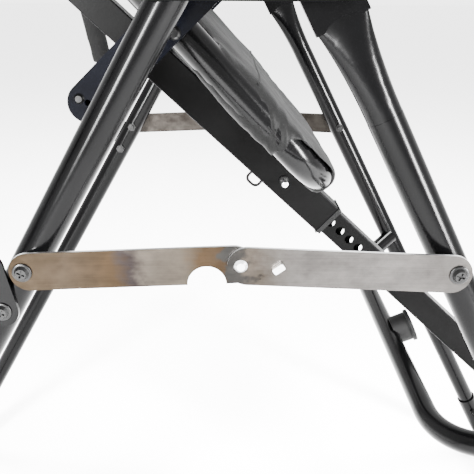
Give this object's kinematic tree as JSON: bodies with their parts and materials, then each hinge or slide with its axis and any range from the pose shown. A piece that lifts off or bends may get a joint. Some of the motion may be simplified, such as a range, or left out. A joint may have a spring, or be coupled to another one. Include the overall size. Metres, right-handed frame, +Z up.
{
  "type": "inversion table",
  "caption": "Folding inversion table: A-frame with locking spreader straps, tilting padded bed on a boom, sliding height shaft and ankle rollers.",
  "frame": {"origin": "on the floor, under the centre of the object's box", "axes": "+Z up; +X towards the foot end, where the ankle rollers are; +Y towards the user's left; the tilt axis lies along Y"},
  "size_m": [1.4371, 0.75, 1.6387],
  "materials": {
    "frame_paint": "gloss",
    "bracket_paint": "gloss",
    "zinc_strap": "satin",
    "fastener_steel": "polished",
    "handle_paint": "gloss",
    "grip_foam": "matte",
    "foot_rubber": "matte",
    "bearing_plastic": "matte",
    "boom_paint": "satin",
    "cap_plastic": "satin",
    "arm_paint": "gloss",
    "tether_wire": "glossy",
    "rail_paint": "gloss",
    "bar_paint": "gloss",
    "bumper_rubber": "matte",
    "cover_vinyl": "satin",
    "pillow_cloth": "matte",
    "tread_plate": "satin",
    "roller_foam": "matte"
  },
  "bodies": {
    "rear_frame": {"rear_leg_left": "frame_paint", "rear_leg_right": "frame_paint", "rear_base": "frame_paint", "rear_feet": "foot_rubber", "rear_leg_bolts": "fastener_steel", "pivot_bracket_left": "bracket_paint", "pivot_bracket_right": "bracket_paint", "pivot_bearings": "bearing_plastic", "bracket_bolts": "fastener_steel", "hinge_spacers": "bearing_plastic", "grab_handle_left": "handle_paint", "grab_handle_right": "handle_paint", "handle_grip_left": "grip_foam", "handle_grip_right": "grip_foam"},
    "front_frame": {"front_leg_left": "frame_paint", "front_leg_right": "frame_paint", "front_base": "frame_paint", "front_feet": "foot_rubber", "front_leg_bolts": "fastener_steel", "rest_bar": "bar_paint", "rest_bumper": "bumper_rubber", "bumper_screw": "fastener_steel"},
    "rear_straps": {"rear_strap_left": "zinc_strap", "rear_strap_right": "zinc_strap"},
    "front_straps": {"front_strap_left": "zinc_strap", "front_strap_right": "zinc_strap", "strap_rivets": "fastener_steel"},
    "table": {"boom": "boom_paint", "boom_collar": "cap_plastic", "tether_loop": "tether_wire", "pin_bush": "cap_plastic", "hinge_arm_left": "arm_paint", "hinge_arm_right": "arm_paint", "arm_bolts": "fastener_steel", "rail_spacers": "bearing_plastic", "hinge_crossbar": "boom_paint", "bed_saddle": "bearing_plastic", "bed_rail_left": "rail_paint", "bed_rail_right": "rail_paint", "bed_foot_bow": "rail_paint", "bed_head_bow": "rail_paint", "bed_cover": "cover_vinyl", "head_pillow": "pillow_cloth", "pivot_pins": "fastener_steel"},
    "height_lock": {"height_pin": "fastener_steel"},
    "shaft": {"main_shaft": "boom_paint", "shaft_end_cap": "cap_plastic", "foot_bracket": "bar_paint", "foot_platform": "tread_plate", "heel_bar": "bar_paint", "heel_roller_left": "roller_foam", "heel_roller_right": "roller_foam", "heel_bar_bracket": "bar_paint", "clamp_socket": "bar_paint"},
    "ankle_clamp": {"clamp_post": "bar_paint", "instep_bar": "bar_paint", "instep_roller_left": "roller_foam", "instep_roller_right": "roller_foam"},
    "clamp_knob": {"clamp_knob": "cap_plastic"}
  },
  "joints": [
    {"name": "frame_fold", "type": "hinge", "parent": "rear_frame", "child": "front_frame", "pos_m": [0.0518, 0, 1], "axis": [0, 1, 0], "range_deg": [0, 52]},
    {"name": "rear_strap_turn", "type": "hinge", "parent": "rear_frame", "child": "rear_straps", "pos_m": [-0.20594, 0, 0.7536], "axis": [0, -1, 0], "range_deg": [0, 62.1]},
    {"name": "front_strap_turn", "type": "hinge", "parent": "front_frame", "child": "front_straps", "pos_m": [0.18428, 0, 0.7536], "axis": [0, 1, 0], "range_deg": [0, 17.8]},
    {"name": "table_tilt", "type": "hinge", "parent": "rear_frame", "child": "table", "pos_m": [0.0014, 0, 1.037], "axis": [0, -1, 0], "range_deg": [0, 118]},
    {"name": "height_pin_push", "type": "slide", "parent": "table", "child": "height_lock", "axis": [0, 1, 0], "range_m": [0, 0.023]},
    {"name": "shaft_slide", "type": "slide", "parent": "table", "child": "shaft", "axis": [0.7349, 0, -0.6782], "range_m": [-0.1905, 0.1905]},
    {"name": "ankle_clamp_slide", "type": "slide", "parent": "shaft", "child": "ankle_clamp", "axis": [0.6782, 0, 0.7349], "range_m": [0, 0.06]},
    {"name": "clamp_knob_turn", "type": "hinge", "parent": "shaft", "child": "clamp_knob", "pos_m": [0.56663, -0.0133, 0.37255], "axis": [0, 1, 0], "continuous": true}
  ],
  "couplings": [
    {"joint": "rear_strap_turn", "follows": "frame_fold", "ratio": 1.1916},
    {"joint": "front_strap_turn", "follows": "frame_fold", "ratio": 0.33858}
  ]
}
